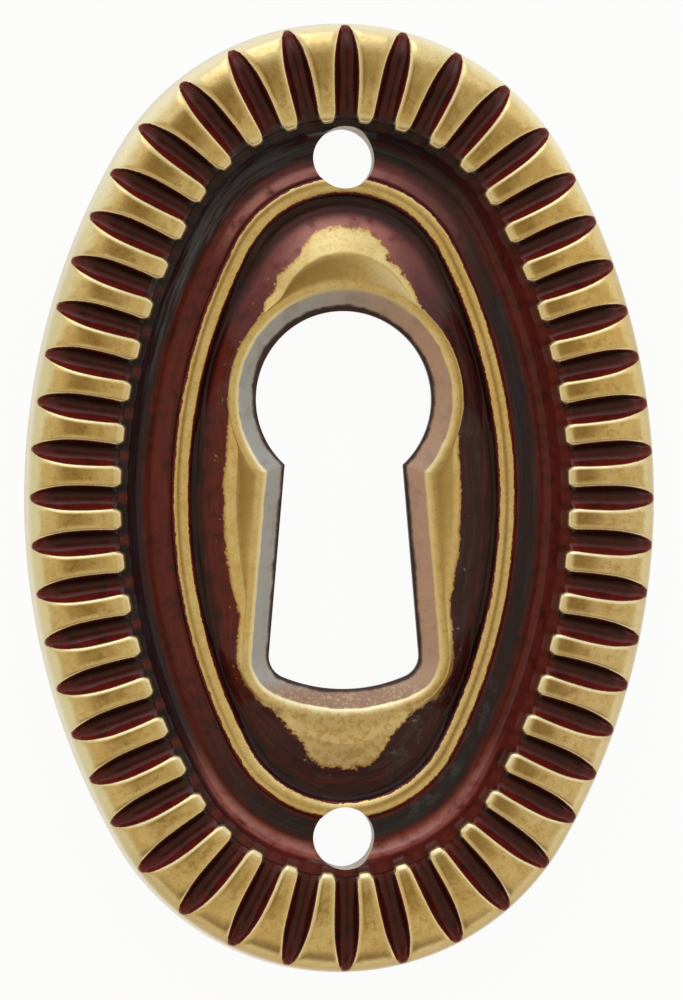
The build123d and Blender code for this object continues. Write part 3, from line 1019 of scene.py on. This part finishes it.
        # Painted highlight at each flute's inner end, in place of the shade line, fainter towards the top.
        flute_end_highlight = self.dark.ease(0.4, 0.9) * (1.0 - guide.ease(2.03, 2.09)) * self.hollow.ease(0.2, 0.9)
        flute_end_highlight = flute_end_highlight * (0.5 + self.fine.ease(0.4, 0.6) * 0.4) * (1.0 - y.ease(5.0, 11.0) * 0.8)
        tone = nodes.coats(
            LACQUER["red"],
            (depth.ease(0.0, 0.12), LACQUER["brown"]),
            (on_band * depth.ease(0.08, 0.35) * 0.4, LACQUER["black"]),
            (lit * 0.6, LACQUER["lit"]),
            (self.streak.ease(0.48, 0.68) * guide.ease(2.2, 2.5) * 0.6, LACQUER["streaked"]),
            # Painted light in the flutes: walls facing the top lit red, walls facing the bottom shaded
            # black.
            (self.upward.ease(0.1, 0.6) * 0.75, LACQUER["lit flute"]),
            (self.fine.ease(0.52, 0.7) * 0.6, LACQUER["speckled"]),
            (self.medium.ease(0.45, 0.7) * 0.55, LACQUER["black"]),
            ((-self.upward).ease(0.05, 0.6) * 0.9, LACQUER["black"]),
            (shaded_wall * 0.85, LACQUER["black"]),
            (flute_tip * 0.6, LACQUER["flute tip"]),
            (shaded * (0.65 + self.streak.ease(0.35, 0.6) * 0.35), self.slate_tone()),
            (lacquer_sheen, LACQUER["lacquer_sheen"]),
            (low_right_sheen * 0.6, LACQUER["low_right_sheen"]),
            (line * 0.95, shade_line_tone),
            (flute_end_highlight, LACQUER["flute end highlight"]),
        )
        bump = nodes.add(
            "ShaderNodeBump",
            {"Strength": 0.16, "Distance": 0.03 * MM, "Height": self.medium * 0.6 + self.fine * 0.4},
        )
        return nodes.add(
            "ShaderNodeBsdfPrincipled",
            {"Base Color": tone, "Roughness": 0.11 + self.fine * 0.14, "Normal": bump,
             "Specular IOR Level": 0.28, "Coat Weight": lacquer_sheen * (1.0 - self.dark),
             "Coat Roughness": 0.3, "Coat IOR": 1.65},
        )

    def bare_metal(self):
        """The cut metal of the keyhole, with a painted reflection: grey on the left, coppery on the right
        and at the bottom, and a dark band along the bevel's inner edge.
        """
        nodes, y = self.nodes, self.y
        bottom = (-y).ease(7.0, 7.9)
        upper_left = y.ease(2.0, 6.0) * (1.0 - self.x.ease(-1.0, 3.0))
        # A dark band along the bevel's inner edge, wider at the upper left.
        dark_inner_edge = (self.guide + upper_left * 0.1 + (self.medium - 0.5) * 0.2).ease(5.82, 5.94)
        # Painted reflection: grey on the left, coppery on the right and at the bottom.
        tone = nodes.coats(
            nodes.mix(self.x.ease(-2.5, 3.5), BARE["left"], BARE["right"]),
            (bottom, BARE["bottom"]),
            (self.fine.ease(0.5, 0.62) * (0.25 + bottom * 0.5), BARE["speckled"]),
            (self.medium.ease(0.5, 0.7) * 0.35, BARE["patched"]),
            (dark_inner_edge, BARE["dark_inner_edge"]),
            (self.pin_wall, BARE["pin hole"]),
        )
        return nodes.add(
            "ShaderNodeBsdfPrincipled",
            {"Base Color": tone, "Metallic": 0.25, "Roughness": 0.42 + self.medium * 0.1,
             "Normal": self.bump},
        )


def new_material(name):
    """A material with an empty node tree."""
    material = bpy.data.materials.new(name)
    material.use_nodes = True
    material.node_tree.nodes.clear()
    return material


def patinated_brass():
    """The plate's one material."""
    material = new_material("patinated_brass")
    PatinatedBrass(material.node_tree)
    return material


def make_floor():
    """A pale floor that keeps a faint shadow."""
    white, pale, glow_share = (1.0, 1.0, 1.0, 1.0), (0.90, 0.90, 0.90, 1.0), 0.94
    half_size, drop = 3.0, 0.02 * MM
    material = new_material("pale_floor")
    nodes = Nodes(material.node_tree)
    seen = nodes.add("ShaderNodeLightPath", output="Is Camera Ray")
    for kind in ("Is Glossy Ray", "Is Transmission Ray"):
        seen = seen.at_least(nodes.add("ShaderNodeLightPath", output=kind))
    plain = nodes.add("ShaderNodeBsdfDiffuse", {"Color": pale})
    glow = nodes.add("ShaderNodeEmission", {"Color": white, "Strength": 1.0})
    finish = nodes.add("ShaderNodeMixShader", [seen * glow_share, plain, glow])
    nodes.add("ShaderNodeOutputMaterial", [finish], output=None)
    mesh = bpy.data.meshes.new("floor")
    corners = ((-1, -1), (1, -1), (1, 1), (-1, 1))
    mesh.from_pydata([(x * half_size, y * half_size, -drop) for x, y in corners], [], [(0, 1, 2, 3)])
    mesh.materials.append(material)
    floor = bpy.data.objects.new("floor", mesh)
    bpy.context.scene.collection.objects.link(floor)
    return floor


# Tones of the tent round the plate, and the lamp in it, in metres and watts
TENT = {
    "left": (0.66, 0.58, 0.42, 1.0),
    "right": (0.64, 0.57, 0.42, 1.0),
    "top": (0.90, 0.91, 0.90, 1.0),
    "bottom": (0.26, 0.20, 0.14, 1.0),
    "low edge": (0.95, 0.97, 0.97, 1.0),
    "camera place": (0.25, 0.165, 0.055, 1.0),
}
LAMP_PLACE = Vector((-0.06, 0.52, 0.20))
LAMP_SIZE = 0.46
LAMP_POWER = 0.36
LAMP_COLOUR = (0.94, 1.0, 1.06)


def make_tent():
    """A bright tent with a dark place where the camera stands."""
    world = bpy.data.worlds.new("studio")
    world.use_nodes = True
    world.node_tree.nodes.clear()
    nodes = Nodes(world.node_tree)
    x, y, z = nodes.parts(nodes.add("ShaderNodeTexCoord", output="Generated"))
    level = z.at_least(0.05)
    across, along = x / level, y / level

    def rising(lean, start, full):
        """0 where the ray leans less than start, in degrees, and 1 where it leans more than full."""
        return lean.ease(math.tan(math.radians(start)), math.tan(math.radians(full)))

    camera_place = rising(across, -19, -15) * (1.0 - rising(across, -6, 18))
    camera_place = camera_place * (1.0 - rising(along, 23, 28)) * rising(along, -16, -3)
    tent = nodes.coats(
        nodes.mix(across.ease(-1.0, 1.0), TENT["left"], TENT["right"]),
        (rising(along, 24, 34), TENT["top"]),
        ((-y).ease(0.5, 0.92), TENT["bottom"]),
        (1.0 - z.ease(0.05, 0.35), TENT["low edge"]),
        (camera_place, TENT["camera place"]),
    )
    background = nodes.add("ShaderNodeBackground", {"Color": tent, "Strength": 1.0})
    nodes.add("ShaderNodeOutputWorld", [background], output=None)
    bpy.context.scene.world = world


def make_lamp():
    """One soft lamp above the plate's top end."""
    lamp = bpy.data.lights.new("top_lamp", "AREA")
    lamp.shape = "DISK"
    lamp.size = LAMP_SIZE
    lamp.energy = LAMP_POWER
    lamp.color = LAMP_COLOUR
    lamp_object = bpy.data.objects.new("top_lamp", lamp)
    lamp_object.location = LAMP_PLACE
    lamp_object.rotation_euler = (-LAMP_PLACE).to_track_quat("-Z", "Y").to_euler()
    bpy.context.scene.collection.objects.link(lamp_object)


CAMERA_SIDE = math.radians(6.5)
CAMERA_DISTANCE = 0.15
CAMERA_LENS = 134.4
CAMERA_SHIFT = (0.0004, -0.0021)


def make_camera():
    """The photograph's view: from a little to the left, with the lens shifted to frame it."""
    camera_data = bpy.data.cameras.new("camera")
    camera_data.sensor_width = 36.0
    camera_data.lens = CAMERA_LENS
    camera_data.shift_x, camera_data.shift_y = CAMERA_SHIFT
    camera_data.clip_start = 0.005
    camera = bpy.data.objects.new("camera", camera_data)
    back = Vector((-math.sin(CAMERA_SIDE), 0.0, math.cos(CAMERA_SIDE)))
    up = Vector((0.0, 1.0, 0.0))
    turned = Matrix((up.cross(back), up, back)).transposed()
    camera.matrix_world = Matrix.Translation(back * CAMERA_DISTANCE) @ turned.to_4x4()
    bpy.context.scene.collection.objects.link(camera)
    bpy.context.scene.camera = camera


plate = make_plate(patinated_brass())
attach(plate, "root")
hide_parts("escutcheon_plate")
make_floor()
make_tent()
make_lamp()
make_camera()
bpy.context.scene.view_settings.view_transform = "Standard"
